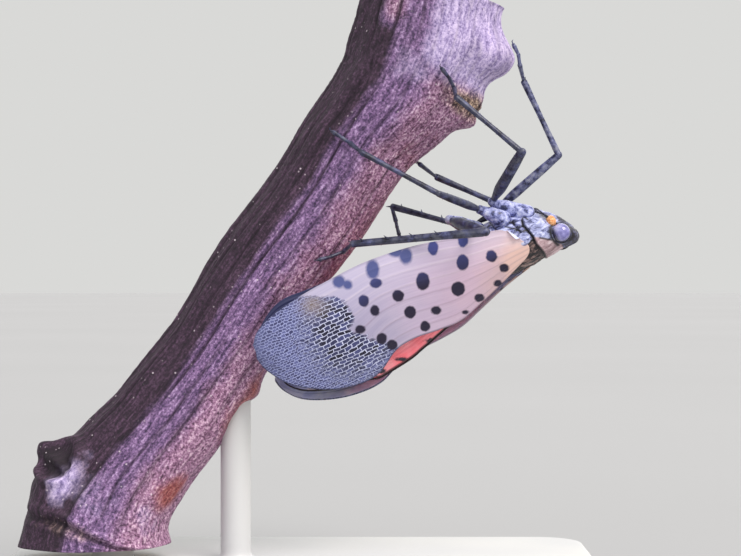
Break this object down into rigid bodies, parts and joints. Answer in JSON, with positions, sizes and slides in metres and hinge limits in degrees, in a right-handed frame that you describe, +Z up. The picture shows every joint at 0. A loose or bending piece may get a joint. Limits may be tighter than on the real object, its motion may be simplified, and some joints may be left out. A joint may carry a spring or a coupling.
{
  "type": "spotted lanternfly",
  "caption": "Life-size spotted lanternfly model at rest under a slanting length of vine, wings folded like a roof, on a flat display base with rods.",
  "frame": {"origin": "middle of the underside of the stand's base", "axes": "+Z up; +X toward the side the head points to; +Y away from the viewer of the picture"},
  "size_m": [0.043, 0.028, 0.0448],
  "materials": {
    "stand": "smooth satin off-white",
    "rod": "smooth satin off-white",
    "bark": "rough purple-brown bark with a pale bloom",
    "pronotum": "waxy tan-mauve cuticle",
    "mesonotum": "dull dark brown cuticle",
    "thorax": "blue-grey wax bloom over dark cuticle",
    "abdomen": "waxy yellow cuticle banded black",
    "head": "dark satin cuticle",
    "eye": "glossy purple-grey",
    "antenna": "orange, finely pitted",
    "forewing": "dry pinkish-grey membrane with black spots and a netted tip",
    "hindwing": "red membrane with black spots, a white band and a black tip",
    "leg": "dark satin cuticle with fine hairs"
  },
  "bodies": {
    "root": {"stand_base": "stand", "stand_rod_1": "rod", "stand_rod_2": "rod", "perch_stem": "bark", "pronotum": "pronotum", "mesonotum": "mesonotum", "thorax": "thorax", "abdomen": "abdomen", "head": "head", "beak": "head", "eye_left": "eye", "eye_right": "eye", "antenna_left": "antenna", "antenna_right": "antenna", "tegula_left": "thorax", "tegula_right": "thorax", "forewing_left": "forewing", "forewing_right": "forewing", "hindwing_left": "hindwing", "hindwing_right": "hindwing", "coxa_front_left": "leg", "femur_front_left": "leg", "tibia_front_left": "leg", "tarsus_front_left": "leg", "coxa_front_right": "leg", "femur_front_right": "leg", "tibia_front_right": "leg", "tarsus_front_right": "leg", "coxa_mid_left": "leg", "femur_mid_left": "leg", "tibia_mid_left": "leg", "tarsus_mid_left": "leg", "coxa_mid_right": "leg", "femur_mid_right": "leg", "tibia_mid_right": "leg", "tarsus_mid_right": "leg", "coxa_hind_left": "leg", "femur_hind_left": "leg", "tibia_hind_left": "leg", "tarsus_hind_left": "leg", "coxa_hind_right": "leg", "femur_hind_right": "leg", "tibia_hind_right": "leg", "tarsus_hind_right": "leg"}
  },
  "joints": []
}
